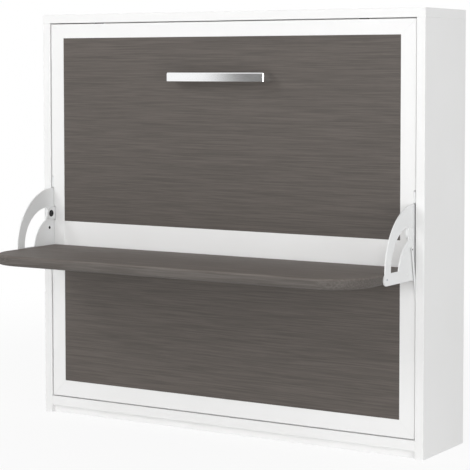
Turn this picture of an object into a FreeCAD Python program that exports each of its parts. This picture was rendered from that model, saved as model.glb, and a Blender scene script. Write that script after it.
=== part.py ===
import FreeCAD, Part
import Sketcher
import os

# A sideways wall bed. The cabinet stands against a wall, and the bed turns down out of it about a
# pivot near its lower edge. A desk hangs on the bed's face by two quarter-round side plates. Level
# rods keep it flat while the bed opens, and it ends up under the bed.
# Frame: millimetres, X along the cabinet, Y = 0 at the wall with the room at -Y, Z = 0 on the floor.

doc = FreeCAD.newDocument("WallBedWithDesk")
sheet = doc.addObject("Spreadsheet::Sheet", "dims")

sizes = {
    # how far a cutting solid stands past what it cuts
    "cutOver": 1,
    # cabinet
    "cabinetWidth": 2010,
    "cabinetHeight": 1900,
    "cabinetDepth": 400,
    "boardThickness": 40,
    "innerBoard": 18,
    "fasciaBottom": 36,
    "fasciaTop": 80,
    "bottomPanelUnder": 45,
    "plinthRecess": 18,
    "boardRound": 1.2,
    "railHeight": 100,
    "railBottomHeight": 120,
    "railMiddleFrom": 900,
    # wall fixings
    "fixingHoleRadius": 4.5,
    "fixingSpacing": 1400,
    "fixingLow": 950,
    "fixingHigh": 1810,
    "fixingPlateHalf": 28,
    "fixingPlateThickness": 3,
    # bed face
    "sideGap": 4,
    "faceRecess": 6,
    "faceBottom": 84,
    "faceTop": 1855,
    "faceThickness": 22,
    "faceRound": 0.8,
    "stileWidth": 72,
    "topRailWidth": 66,
    "bottomRailWidth": 76,
    "middleRailFrom": 760,
    "middleRailTo": 924,
    "panelRecess": 1,
    "panelThickness": 18,
    "notchFrom": 757,
    "notchTo": 1136,
    "notchInner": 951.5,
    "earSlotFrom": 928,
    "earSlotTo": 992,
    "earSlotInner": 943,
    # folded strips on the cabinet's sides, in the notches above the desk's side plates
    "fillerInner": 952,
    "fillerFrom": 1083,
    "fillerTo": 1133,
    "fillerSheet": 2,
    "fillerDepth": 37,
    "fillerFoot": 20,
    # handle
    "handleLength": 512,
    "handleHeight": 42,
    "handleReach": 65,
    "handleThickness": 11,
    "handleCentre": 1607,
    "handleBevel": 3.5,
    "handleRound": 4,
    "handleScrewRadius": 2.5,
    "handleScrewHeadRadius": 5,
    "handleScrewHead": 2.5,
    "handleThreadDepth": 14,
    "threadSpare": 1,
    # bed frame
    "tube": 40,
    "tubeWall": 2,
    "frameOuter": 944,
    "frameBottom": 100,
    "frameTop": 1830,
    "crossLow": 620,
    "crossHigh": 1230,
    "slatWidth": 53,
    "slatThickness": 8,
    "slatOverlap": 10,
    "slatPitch": 134,
    "capDepth": 20,
    "capWall": 4,
    # mattress and its stops
    "mattressHalf": 942.5,
    "mattressFrom": 150,
    "mattressTo": 1740,
    "mattressFront": 72,
    "mattressThickness": 175,
    "mattressRound": 30,
    "mattressGap": 1,
    "stopPlate": 3,
    "stopLift": 4,
    "stopWidth": 40,
    "stopReach": 200,
    "stopSpacing": 536,
    # bed pivot on the cabinet's side panels
    "pivotDepth": 85,
    "pivotHeight": 350,
    "pivotPinRadius": 6,
    "pinClearance": 0.06,
    "hingePlateThickness": 4,
    "hingePlateWidth": 90,
    "hingePlateFrom": 255,
    "hingePlateTo": 395,
    "pinEndGap": 0.5,
    "bedBracketThickness": 8,
    "bedBracketHalf": 45,
    "pivotPinReach": 945,
    # desk
    "deskTop": 811,
    "deskThickness": 46,
    "deskHalf": 953,
    "deskBack": 3,
    "deskFront": 534,
    "deskCorner": 190,
    "deskEdgeRound": 16,
    # desk side plates, measured forward from the cabinet's front and up from the floor
    "armThickness": 5,
    "armBack": -14,
    "armArcForward": -6,
    "armArcHeight": 813,
    "armArcRadius": 268,
    "armBottom": 761,
    "armTipForward": 249,
    "armTipRadius": 25,
    "armTipShoulder": 262,
    "windowForward": 40,
    "windowHeight": 817,
    "windowRadius": 173,
    "windowBack": 50,
    "leafForward": -22,
    "leafHeight": 784,
    "leafRadius": 165,
    "armScrewRadius": 2.5,
    "armScrewHeadRadius": 5,
    "armScrewHead": 1.8,
    "armScrewDepth": 40,
    "armScrewFront": 245,
    "armScrewBack": 60,
    "armScrewHeight": 787,
    # desk pivots on the bed's face
    "deskPivotForward": 25,
    "deskPivotHeight": 960,
    "deskPivotRadius": 7,
    "deskPivotHeadRadius": 16,
    "deskPivotHead": 4,
    "deskPivotCapRadius": 28,
    "deskPivotCap": 2,
    "deskPivotGap": 0.3,
    "deskSpacerRadius": 28,
    "earThickness": 5,
    "earRadius": 28,
    "earBack": 60,
    # level rods
    "rodPivotForward": -2,
    "rodPivotDown": 68,
    "rodWidth": 12,
    "rodThickness": 2.5,
    "rodInner": 961.8,
    "rodEyeRadius": 9,
    "rodPinRadius": 4,
    "rodPinHeadRadius": 7,
    "rodPinHead": 1.7,
    "rodPinProud": 0.4,
    # fold-out support leg
    "legPivotDepth": 120,
    "legPivotHeight": 1830,
    "legPinRadius": 5,
    "legPinProud": 1,
    "legInner": 949,
    "legThickness": 6,
    "legWidth": 20,
    "legOffset": 60,
    "legLength": 369,
    "legSwing": 235,
    "legBarRadius": 12,
    "legBracketThickness": 4,
    "legBracketFrom": 1785,
    "legBracketTo": 1845,
    "legBracketBack": 137,
    "footRadius": 15,
    "footLength": 60,
    "footSpacing": 780,
    # gas struts
    "strutTopDepth": 340,
    "strutTopHeight": 800,
    "strutLowDepth": 100,
    "strutLowHeight": 150,
    "strutCentre": 955,
    "strutRadius": 7,
    "strutRodRadius": 4,
    "strutBore": 4.3,
    "strutTubeFrom": 14,
    "strutTubeTo": 410,
    "strutBoreFrom": 130,
    "strutRodFrom": 400,
    "strutWeld": 2,
    "strutEyeRadius": 9,
    "strutEyeHalf": 4.5,
    "strutStudRadius": 5,
    "strutStudEnd": 949.8,
    "strutFlangeRadius": 12,
    "strutFlange": 4,
    "strutBracketThickness": 4,
    "strutBracketBack": 15,
    "strutBracketHalf": 20,
    # buffers
    "bufferSpacing": 700,
    "bufferHalf": 20,
    "bufferHeight": 22,
    "bufferDepth": 16,
    "bufferGap": 0.5,
}
slatCount = 14

for row, (alias, size) in enumerate(sizes.items(), start=1):
    sheet.set(f"A{row}", alias)
    sheet.set(f"B{row}", str(size))
    sheet.setAlias(f"B{row}", alias)
doc.recompute()

# Places that many pieces share, as expressions on the sheet
half = "dims.cabinetWidth / 2"
inner = f"({half} - dims.boardThickness)"
faceHalf = f"({inner} - dims.sideGap)"
front = "(-dims.cabinetDepth)"
back = "0"
faceFront = f"({front} + dims.faceRecess)"
faceBack = f"({faceFront} + dims.faceThickness)"
tubeBack = f"({faceBack} + dims.tube)"
underTop = "(dims.cabinetHeight - dims.boardThickness)"
tubeInner = "(dims.frameOuter - dims.tube)"
pivotY = f"({front} + dims.pivotDepth)"
armInner = "dims.deskHalf"
armOuter = "(dims.deskHalf + dims.armThickness)"
deskPivotY = f"({front} - dims.deskPivotForward)"
rodTopY = f"({deskPivotY} + dims.rodPivotForward)"
rodTopZ = "(dims.deskPivotHeight - dims.rodPivotDown)"
rodLowY = f"({pivotY} + dims.rodPivotForward)"
rodLowZ = "(dims.pivotHeight - dims.rodPivotDown)"
earInner = "dims.frameOuter"
earOuter = "(dims.frameOuter + dims.earThickness)"
legPivotY = f"({front} + dims.legPivotDepth)"
legOuter = "(dims.legInner + dims.legThickness)"
elbowY = f"({legPivotY} + dims.legOffset * cos(90 - dims.legSwing))"
elbowZ = "(dims.legPivotHeight + dims.legOffset * sin(90 - dims.legSwing))"
legFootY = f"({elbowY} + dims.legLength * cos(180 - dims.legSwing))"
legFootZ = f"({elbowZ} + dims.legLength * sin(180 - dims.legSwing))"
strutTopY = f"({front} + dims.strutTopDepth)"
strutLowY = f"({front} + dims.strutLowDepth)"
strutInner = "(dims.strutCentre - dims.strutEyeHalf)"
strutOuter = "(dims.strutCentre + dims.strutEyeHalf)"

left, right = -1, 1
slack = 0.1  # tolerance for picking an edge by its place
sideNames = {left: "left", right: "right"}
parts = []


def number(expression):
    """The value of an expression on the sheet, for a sketch's first drawing."""
    return float(sheet.evalExpression(str(expression)))


def keep(piece, label):
    """Marks an object as a finished sub-part, under the name of its file."""
    piece.Label = label
    parts.append(piece)
    return piece


def span(side, near, far):
    """The X range between two distances from the middle, on one side."""
    if side == right:
        return f"{near}", f"{far}"
    return f"-({far})", f"-({near})"


def bind(piece, **expressions):
    """Binds an object's properties to expressions on the sheet."""
    for name, expression in expressions.items():
        piece.setExpression(name.replace("_", "."), str(expression))
    return piece


def place(piece, x, y, z):
    return bind(piece, Placement_Base_x=x, Placement_Base_y=y, Placement_Base_z=z)


def block(xs, ys, zs):
    """A Part box between pairs of X, Y and Z places."""
    box = doc.addObject("Part::Box", "Block")
    bind(
        box,
        Length=f"({xs[1]}) - ({xs[0]})",
        Width=f"({ys[1]}) - ({ys[0]})",
        Height=f"({zs[1]}) - ({zs[0]})",
    )
    return place(box, xs[0], ys[0], zs[0])


def disc(xs, y, z, radius):
    """A cylinder along X between two X places."""
    cylinder = doc.addObject("Part::Cylinder", "Disc")
    cylinder.Placement.Rotation = FreeCAD.Rotation(FreeCAD.Vector(0, 1, 0), 90)
    bind(cylinder, Radius=radius, Height=f"({xs[1]}) - ({xs[0]})")
    return place(cylinder, xs[0], y, z)


def bore(x, z, radius, ys):
    """A cylinder along Y between two Y places."""
    cylinder = doc.addObject("Part::Cylinder", "Bore")
    cylinder.Placement.Rotation = FreeCAD.Rotation(FreeCAD.Vector(1, 0, 0), -90)
    bind(cylinder, Radius=radius, Height=f"({ys[1]}) - ({ys[0]})")
    return place(cylinder, x, ys[0], z)


def cut(base, *tools):
    result = base
    for tool in tools:
        step = doc.addObject("Part::Cut", "Cut")
        step.Base = result
        step.Tool = tool
        result = step
    return result


def fuse(*pieces):
    result = doc.addObject("Part::MultiFuse", "Fuse")
    result.Shapes = list(pieces)
    result.Refine = True
    return result


def common(first, second):
    result = doc.addObject("Part::Common", "Common")
    result.Base = first
    result.Tool = second
    return result


def group(*pieces):
    """Several separate solids in one sub-part."""
    result = doc.addObject("Part::Compound", "Group")
    result.Links = list(pieces)
    return result


def originPlane(body, role):
    return next(feature for feature in body.Origin.OriginFeatures if feature.Role == role)


def drawPolygon(body, role, corners, offset="0"):
    """A closed outline on one of the body's origin planes, every corner bound to the sheet."""
    sketch = body.newObject("Sketcher::SketchObject", "Outline")
    sketch.AttachmentSupport = [(originPlane(body, role), "")]
    sketch.MapMode = "FlatFace"
    sketch.setExpression("AttachmentOffset.Base.z", offset)
    places = [FreeCAD.Vector(number(a), number(b), 0) for a, b in corners]
    count = len(places)
    for index, start in enumerate(places):
        sketch.addGeometry(Part.LineSegment(start, places[(index + 1) % count]), False)
    for index in range(count):
        sketch.addConstraint(Sketcher.Constraint("Coincident", index, 2, (index + 1) % count, 1))
    for index, corner in enumerate(corners):
        for kind, value, expression in zip(("DistanceX", "DistanceY"), places[index], corner):
            added = sketch.addConstraint(Sketcher.Constraint(kind, -1, 1, index, 1, value))
            sketch.setExpression(f"Constraints[{added}]", str(expression))
    return sketch


def padOutline(name, role, corners, length, offset="0"):
    """A body padded from a polygon."""
    body = doc.addObject("PartDesign::Body", name)
    sketch = drawPolygon(body, role, corners, offset)
    pad = body.newObject("PartDesign::Pad", "Pad")
    pad.Profile = sketch
    pad.setExpression("Length", str(length))
    doc.recompute()
    return body


def roundEdges(body, radius, test=None, kind="PartDesign::Fillet"):
    """Rounds or bevels the edges of a body's tip that a test picks, or all of them."""
    base = body.Tip
    names = [
        f"Edge{index}"
        for index, edge in enumerate(base.Shape.Edges, start=1)
        if test is None or test(edge)
    ]
    feature = body.newObject(kind, "Rounding")
    feature.Base = (base, names)
    feature.setExpression("Radius" if kind.endswith("Fillet") else "Size", str(radius))
    doc.recompute()
    return body


def board(xs, ys, zs, radius="dims.boardRound"):
    """A board with slightly rounded edges."""
    body = doc.addObject("PartDesign::Body", "Board")
    box = body.newObject("PartDesign::AdditiveBox", "Slab")
    bind(
        box,
        Length=f"({xs[1]}) - ({xs[0]})",
        Width=f"({ys[1]}) - ({ys[0]})",
        Height=f"({zs[1]}) - ({zs[0]})",
    )
    place(box, xs[0], ys[0], zs[0])
    doc.recompute()
    return roundEdges(body, radius)


def hollowTube(xs, ys, zs, along):
    """A square tube, open at both ends of the axis it runs along."""
    spans = {"X": xs, "Y": ys, "Z": zs}
    cavity = [
        pair if axis == along else (f"({pair[0]}) + dims.tubeWall", f"({pair[1]}) - dims.tubeWall")
        for axis, pair in spans.items()
    ]
    return cut(block(xs, ys, zs), block(*cavity))


def barBetween(xs, start, end, width):
    """A flat bar whose middle line joins two (Y, Z) places."""
    runY = f"(({end[0]}) - ({start[0]}))"
    runZ = f"(({end[1]}) - ({start[1]}))"
    turn = f"atan2(-{runY}; {runZ})"
    bar = doc.addObject("Part::Box", "Bar")
    bar.Placement.Rotation = FreeCAD.Rotation(FreeCAD.Vector(1, 0, 0), 1)
    bind(
        bar,
        Length=f"({xs[1]}) - ({xs[0]})",
        Width=width,
        Height=f"sqrt({runY}^2 + {runZ}^2)",
        Placement_Rotation_Angle=turn,
    )
    return place(
        bar,
        xs[0],
        f"({start[0]}) - ({width}) / 2 * cos({turn})",
        f"({start[1]}) - ({width}) / 2 * sin({turn})",
    )


def rodAlong(start, end, near, far, radius):
    """A round bar on the strut's line, between two distances from its upper eye."""
    runY = f"(({end[0]}) - ({start[0]}))"
    runZ = f"(({end[1]}) - ({start[1]}))"
    length = f"sqrt({runY}^2 + {runZ}^2)"
    rod = doc.addObject("Part::Cylinder", "Rod")
    rod.Placement.Rotation = FreeCAD.Rotation(FreeCAD.Vector(1, 0, 0), 1)
    bind(
        rod,
        Radius=radius,
        Height=f"({far}) - ({near})",
        Placement_Rotation_Angle=f"atan2(-{runY}; {runZ})",
    )
    return rod, (
        f"({start[0]}) + {runY} / {length} * ({near})",
        f"({start[1]}) + {runZ} / {length} * ({near})",
    )


# Cabinet: two side boards, with the top lying over them

insideX = (f"-{inner}", inner)
outerZ = ("0", underTop)


def buildSidePanel(side):
    """A side board, with a pocket for the steel plate that carries the pivots."""
    xs = span(side, inner, half)
    panel = doc.addObject("PartDesign::Body", "SideBoard")
    slab = panel.newObject("PartDesign::AdditiveBox", "Slab")
    bind(slab, Length="dims.boardThickness", Width="dims.cabinetDepth", Height=underTop)
    place(slab, xs[0], front, "0")
    doc.recompute()
    roundEdges(panel, "dims.boardRound")
    pocket = block(*hingePlateSpans(side))
    keep(cut(panel, pocket), f"side_panel_{sideNames[side]}")


def hingePlateSpans(side):
    """The space of the steel pivot plate, flush with the side board's inner face."""
    return (
        span(side, inner, f"({inner} + dims.hingePlateThickness)"),
        (f"{pivotY} - dims.hingePlateWidth / 2", f"{pivotY} + dims.hingePlateWidth / 2"),
        ("dims.hingePlateFrom", "dims.hingePlateTo"),
    )


for side in (left, right):
    buildSidePanel(side)

keep(board((f"-{half}", half), (front, back), (underTop, "dims.cabinetHeight")), "top_panel")

fasciaBack = f"({front} + dims.innerBoard)"
bottomTop = "(dims.bottomPanelUnder + dims.innerBoard)"
railFront = "(-dims.innerBoard)"
throughRail = (f"2 * {railFront}", "dims.innerBoard")
plinthY = (f"{front} + dims.plinthRecess", f"{front} + dims.plinthRecess + dims.innerBoard")
insideBoards = {
    "base_fascia": ((front, fasciaBack), ("dims.fasciaBottom", "dims.fasciaTop")),
    "bottom_panel": ((fasciaBack, railFront), ("dims.bottomPanelUnder", bottomTop)),
    "plinth": (plinthY, ("0", "dims.bottomPanelUnder")),
}
for label, (ys, zs) in insideBoards.items():
    keep(board(insideX, ys, zs), label)
railY = (railFront, back)
keep(block(insideX, railY, ("0", "dims.railBottomHeight")), "rear_rail_bottom")


def buildFixedRail(label, bottom, holeHeight):
    """A rear rail with the two clear holes that its wall screws pass through."""
    rail = block(insideX, railY, (bottom, f"{bottom} + dims.railHeight"))
    holes = [
        bore(f"{side} * dims.fixingSpacing / 2", holeHeight, "dims.fixingHoleRadius", throughRail)
        for side in (left, right)
    ]
    keep(cut(rail, *holes), label)


buildFixedRail("rear_rail_middle", "dims.railMiddleFrom", "dims.fixingLow")
buildFixedRail("rear_rail_top", f"({underTop} - dims.railHeight)", "dims.fixingHigh")


def buildFixingPlates():
    """Four steel plates that spread the wall screws' load on the rails."""
    plates = []
    reach = "dims.fixingPlateHalf"
    for side in (left, right):
        middle = f"{side} * dims.fixingSpacing / 2"
        for height in ("dims.fixingLow", "dims.fixingHigh"):
            plate = block(
                (f"{middle} - {reach}", f"{middle} + {reach}"),
                (f"{railFront} - dims.fixingPlateThickness", railFront),
                (f"{height} - {reach}", f"{height} + {reach}"),
            )
            hole = bore(middle, height, "dims.fixingHoleRadius", throughRail)
            plates.append(cut(plate, hole))
    keep(group(*plates), "wall_fixing_plates")


buildFixingPlates()


def buildHingePlate(side):
    plate = block(*hingePlateSpans(side))
    xs = span(side, f"{inner} - dims.cutOver", f"{inner} + dims.hingePlateThickness + dims.cutOver")
    pinHole = disc(xs, pivotY, "dims.pivotHeight", "dims.pivotPinRadius + dims.pinClearance")
    rodHole = disc(xs, rodLowY, rodLowZ, "dims.rodPinRadius + dims.pinClearance")
    keep(cut(plate, pinHole, rodHole), f"hinge_plate_{sideNames[side]}")


for side in (left, right):
    buildHingePlate(side)

plateDepth = f"({inner} + dims.hingePlateThickness - dims.pinEndGap)"
pivotPins = [
    disc(span(side, "dims.pivotPinReach", plateDepth), pivotY, "dims.pivotHeight", "dims.pivotPinRadius")
    for side in (left, right)
]
keep(group(*pivotPins), "bed_pivot_pins")

rodPinEnd = "(dims.rodInner - dims.rodPinProud)"
lowerRodPins = [
    disc(span(side, rodPinEnd, plateDepth), rodLowY, rodLowZ, "dims.rodPinRadius")
    for side in (left, right)
]
keep(group(*lowerRodPins), "rod_pins_lower")


def buildStrutStud(side):
    """A flanged stud on the side board for the strut's upper eye."""
    flangeX = span(side, f"{inner} - dims.strutFlange", inner)
    studX = span(side, strutInner, inner)
    flange = disc(flangeX, strutTopY, "dims.strutTopHeight", "dims.strutFlangeRadius")
    stud = disc(studX, strutTopY, "dims.strutTopHeight", "dims.strutStudRadius")
    return fuse(flange, stud)


keep(group(buildStrutStud(left), buildStrutStud(right)), "strut_studs")


def buildBuffer(side):
    """A rubber block under the top board, which the closed bed's face leans on."""
    middle = f"{side} * dims.bufferSpacing"
    start = f"{faceBack} + dims.bufferGap"
    return block(
        (f"{middle} - dims.bufferHalf", f"{middle} + dims.bufferHalf"),
        (start, f"{start} + dims.bufferDepth"),
        (f"{underTop} - dims.bufferHeight", underTop),
    )


keep(group(buildBuffer(left), buildBuffer(right)), "stop_buffers")


def buildNotchFiller(side):
    """A folded strip on the side board that closes the stile's notch above the desk's side plate."""
    zs = ("dims.fillerFrom", "dims.fillerTo")
    webX = f"({faceHalf} - dims.fillerSheet)"
    turn = f"({faceFront} + dims.fillerDepth)"
    turnFront = f"({turn} - dims.fillerSheet)"
    flangeY = (faceFront, f"{faceFront} + dims.fillerSheet")
    flange = block(span(side, "dims.fillerInner", faceHalf), flangeY, zs)
    web = block(span(side, webX, faceHalf), (faceFront, turn), zs)
    step = block(span(side, webX, inner), (turnFront, turn), zs)
    footX = span(side, f"{inner} - dims.fillerSheet", inner)
    foot = block(footX, (turnFront, f"{turn} + dims.fillerFoot"), zs)
    return fuse(flange, web, step, foot)


keep(group(buildNotchFiller(left), buildNotchFiller(right)), "notch_fillers")

# Bed face: a white frame with mitred corners round two grey panels

stileInner = f"({faceHalf} - dims.stileWidth)"
topRailZ = "(dims.faceTop - dims.topRailWidth)"
bottomRailZ = "(dims.faceBottom + dims.bottomRailWidth)"


def buildStile(side):
    """A side member of the face, notched at its outer edge for the desk's side plate and ear."""
    corners = [
        (f"{side} * {faceHalf}", "dims.faceBottom"),
        (f"{side} * {faceHalf}", "dims.notchFrom"),
        (f"{side} * dims.notchInner", "dims.notchFrom"),
        (f"{side} * dims.notchInner", "dims.earSlotFrom"),
        (f"{side} * dims.earSlotInner", "dims.earSlotFrom"),
        (f"{side} * dims.earSlotInner", "dims.earSlotTo"),
        (f"{side} * dims.notchInner", "dims.earSlotTo"),
        (f"{side} * dims.notchInner", "dims.notchTo"),
        (f"{side} * {faceHalf}", "dims.notchTo"),
        (f"{side} * {faceHalf}", "dims.faceTop"),
        (f"{side} * {stileInner}", topRailZ),
        (f"{side} * {stileInner}", bottomRailZ),
    ]
    body = padOutline("Stile", "XZ_Plane", corners, "dims.faceThickness", f"-{faceBack}")
    keep(roundEdges(body, "dims.faceRound"), f"face_stile_{sideNames[side]}")


for side in (left, right):
    buildStile(side)


def buildMitredRail(label, outer, innerEdge):
    corners = [
        (f"-{faceHalf}", outer),
        (faceHalf, outer),
        (stileInner, innerEdge),
        (f"-{stileInner}", innerEdge),
    ]
    body = padOutline("Rail", "XZ_Plane", corners, "dims.faceThickness", f"-{faceBack}")
    keep(roundEdges(body, "dims.faceRound"), label)


buildMitredRail("face_rail_top", "dims.faceTop", topRailZ)
buildMitredRail("face_rail_bottom", "dims.faceBottom", bottomRailZ)
panelX = (f"-{stileInner}", stileInner)
middleZ = ("dims.middleRailFrom", "dims.middleRailTo")
keep(board(panelX, (faceFront, faceBack), middleZ, "dims.faceRound"), "face_rail_middle")

panelFront = f"({faceFront} + dims.panelRecess)"
panelBack = f"({panelFront} + dims.panelThickness)"
panelY = (panelFront, panelBack)
lowerZ = (bottomRailZ, "dims.middleRailFrom")
keep(board(panelX, panelY, lowerZ, "dims.faceRound"), "lower_panel")

armMiddle = "(dims.handleLength / 2 - dims.handleThickness / 2)"
upperPanel = board(panelX, panelY, ("dims.middleRailTo", topRailZ), "dims.faceRound")
throughPanel = (f"{panelFront} - dims.cutOver", f"{panelBack} + dims.cutOver")
handleHoles = [
    bore(
        f"{side} * {armMiddle}",
        "dims.handleCentre",
        "dims.handleScrewRadius + dims.pinClearance",
        throughPanel,
    )
    for side in (left, right)
]
keep(cut(upperPanel, *handleHoles), "upper_panel")


def buildHandle():
    """A flat bar with both ends turned back to the panel, and bevelled front edges."""
    outer = "dims.handleLength / 2"
    innerEnd = "(dims.handleLength / 2 - dims.handleThickness)"
    face = f"({faceFront} - dims.handleReach)"
    behind = f"({face} + dims.handleThickness)"
    corners = [
        (f"-{outer}", panelFront),
        (f"-{outer}", face),
        (outer, face),
        (outer, panelFront),
        (innerEnd, panelFront),
        (innerEnd, behind),
        (f"-{innerEnd}", behind),
        (f"-{innerEnd}", panelFront),
    ]
    low = "(dims.handleCentre - dims.handleHeight / 2)"
    body = padOutline("Handle", "XY_Plane", corners, "dims.handleHeight", low)
    faceY = number(face)
    behindY = number(behind)

    def isBend(edge):
        upright = edge.BoundBox.ZLength > slack
        y = edge.BoundBox.YMax
        return upright and (y < faceY + slack or abs(y - behindY) < slack)

    roundEdges(body, "dims.handleRound", isBend)
    reach = number("dims.handleRound")
    roundEdges(
        body,
        "dims.handleBevel",
        lambda edge: edge.BoundBox.YMax < faceY + reach + slack and edge.BoundBox.ZLength < slack,
        "PartDesign::Chamfer",
    )
    threads = [
        bore(
            f"{side} * {armMiddle}",
            "dims.handleCentre",
            "dims.handleScrewRadius + dims.pinClearance",
            (f"{panelFront} - dims.handleThreadDepth", f"{panelFront} + dims.cutOver"),
        )
        for side in (left, right)
    ]
    keep(cut(body, *threads), "handle")


buildHandle()


def buildHandleScrew(side):
    """A screw from behind the panel into one end of the handle."""
    x = f"{side} * {armMiddle}"
    tip = f"{panelFront} - dims.handleThreadDepth + dims.threadSpare"
    shank = bore(x, "dims.handleCentre", "dims.handleScrewRadius", (tip, panelBack))
    headY = (panelBack, f"{panelBack} + dims.handleScrewHead")
    head = bore(x, "dims.handleCentre", "dims.handleScrewHeadRadius", headY)
    return fuse(shank, head)


keep(group(buildHandleScrew(left), buildHandleScrew(right)), "handle_screws")

# Bed frame: welded square tube behind the face, with slats lying on it

tubeY = (faceBack, tubeBack)
crossX = (f"-{tubeInner}", tubeInner)
for side in (left, right):
    tubeX = span(side, tubeInner, "dims.frameOuter")
    sideTube = hollowTube(tubeX, tubeY, ("dims.frameBottom", "dims.frameTop"), "Z")
    keep(sideTube, f"frame_side_{sideNames[side]}")


def crossTube(bottom):
    return hollowTube(crossX, tubeY, (bottom, f"{bottom} + dims.tube"), "X")


keep(crossTube("(dims.frameTop - dims.tube)"), "frame_top_tube")
keep(crossTube("dims.frameBottom"), "frame_bottom_tube")
keep(group(crossTube("dims.crossLow"), crossTube("dims.crossHigh")), "frame_cross_tubes")

slatY = (tubeBack, f"{tubeBack} + dims.slatThickness")
slatZ = ("dims.frameBottom + dims.slatOverlap", "dims.frameTop - dims.slatOverlap")
slats = []
slatCaps = []
for index in range(slatCount):
    middle = f"({index - (slatCount - 1) / 2} * dims.slatPitch)"
    slatX = (f"{middle} - dims.slatWidth / 2", f"{middle} + dims.slatWidth / 2")
    slats.append(block(slatX, slatY, slatZ))
    capX = (f"({slatX[0]}) - dims.capWall", f"({slatX[1]}) + dims.capWall")
    capY = (tubeBack, f"({slatY[1]}) + dims.capWall")
    for end, inward in ((slatZ[0], 1), (slatZ[1], -1)):
        outside = f"({end}) - {inward} * dims.capWall"
        inside = f"({end}) + {inward} * (dims.capDepth - dims.capWall)"
        capZ = (outside, inside) if inward > 0 else (inside, outside)
        slatCaps.append(cut(block(capX, capY, capZ), block(slatX, slatY, slatZ)))
keep(group(*slats), "slats")
keep(group(*slatCaps), "slat_holders")


def buildMattress():
    start = f"{faceFront} + dims.mattressFront"
    ys = (start, f"{start} + dims.mattressThickness")
    xs = ("-dims.mattressHalf", "dims.mattressHalf")
    zs = ("dims.mattressFrom", "dims.mattressTo")
    keep(board(xs, ys, zs, "dims.mattressRound"), "mattress")


buildMattress()


def buildMattressStop(place_):
    """An angle on the bottom tube that the upright mattress stands on."""
    middle = f"{place_} * dims.stopSpacing"
    xs = (f"{middle} - dims.stopWidth / 2", f"{middle} + dims.stopWidth / 2")
    top = "(dims.mattressFrom - dims.mattressGap)"
    foot = block(xs, (tubeBack, f"{tubeBack} + dims.stopPlate"), ("dims.frameBottom + dims.stopLift", top))
    shelf = block(xs, (tubeBack, f"{faceFront} + dims.stopReach"), (f"{top} - dims.stopPlate", top))
    return fuse(foot, shelf)


keep(group(*[buildMattressStop(place_) for place_ in (-1, 0, 1)]), "mattress_stops")


def buildBedBracket(side):
    """The thick plate on the bed's side tube that turns on the cabinet's pivot pin."""
    xs = span(side, "dims.frameOuter", "(dims.frameOuter + dims.bedBracketThickness)")
    zs = ("dims.pivotHeight - dims.bedBracketHalf", "dims.pivotHeight + dims.bedBracketHalf")
    stem = block(xs, (faceBack, pivotY), zs)
    end = disc(xs, pivotY, "dims.pivotHeight", "dims.bedBracketHalf")
    halfEnd = common(end, block(xs, (pivotY, f"{pivotY} + dims.bedBracketHalf"), zs))
    hole = disc(xs, pivotY, "dims.pivotHeight", "dims.pivotPinRadius + dims.pinClearance")
    keep(cut(fuse(stem, halfEnd), hole), f"bed_bracket_{sideNames[side]}")


for side in (left, right):
    buildBedBracket(side)

# Desk pivots: ears on the bed's side tubes that come out through the stiles' slots


def buildEar(side):
    xs = span(side, earInner, earOuter)
    centre = "dims.deskPivotHeight"
    zs = (f"{centre} - dims.earRadius", f"{centre} + dims.earRadius")
    stem = block(xs, (deskPivotY, f"{front} + dims.earBack"), zs)
    nose = disc(xs, deskPivotY, centre, "dims.earRadius")
    hole = disc(xs, deskPivotY, centre, "dims.deskPivotRadius + dims.pinClearance")
    keep(cut(fuse(stem, nose), hole), f"desk_ear_{sideNames[side]}")


for side in (left, right):
    buildEar(side)


def buildDeskPin(side):
    """A pin with a round head inside the ear."""
    centre = "dims.deskPivotHeight"
    headX = span(side, f"{earInner} - dims.deskPivotHead", earInner)
    shankX = span(side, earInner, f"{armOuter} + dims.deskPivotGap")
    head = disc(headX, deskPivotY, centre, "dims.deskPivotHeadRadius")
    shank = disc(shankX, deskPivotY, centre, "dims.deskPivotRadius")
    return fuse(head, shank)


keep(group(buildDeskPin(left), buildDeskPin(right)), "desk_pivot_pins")


def buildDeskCap(side):
    """The wide cap on the pin's end, which holds the desk's side plate on."""
    capX = span(
        side, f"{armOuter} + dims.deskPivotGap", f"{armOuter} + dims.deskPivotGap + dims.deskPivotCap"
    )
    return disc(capX, deskPivotY, "dims.deskPivotHeight", "dims.deskPivotCapRadius")


keep(group(buildDeskCap(left), buildDeskCap(right)), "desk_pivot_caps")


def buildDeskSpacer(side):
    """A ring that keeps the desk's side plate off the ear."""
    ringX = span(side, earOuter, f"{armInner} - dims.deskPivotGap")
    ring = disc(ringX, deskPivotY, "dims.deskPivotHeight", "dims.deskSpacerRadius")
    hole = disc(
        ringX, deskPivotY, "dims.deskPivotHeight", "dims.deskPivotRadius + dims.pinClearance"
    )
    return cut(ring, hole)


keep(group(buildDeskSpacer(left), buildDeskSpacer(right)), "desk_pivot_spacers")

# Desk: one board with rounded front corners between two steel side plates


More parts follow.
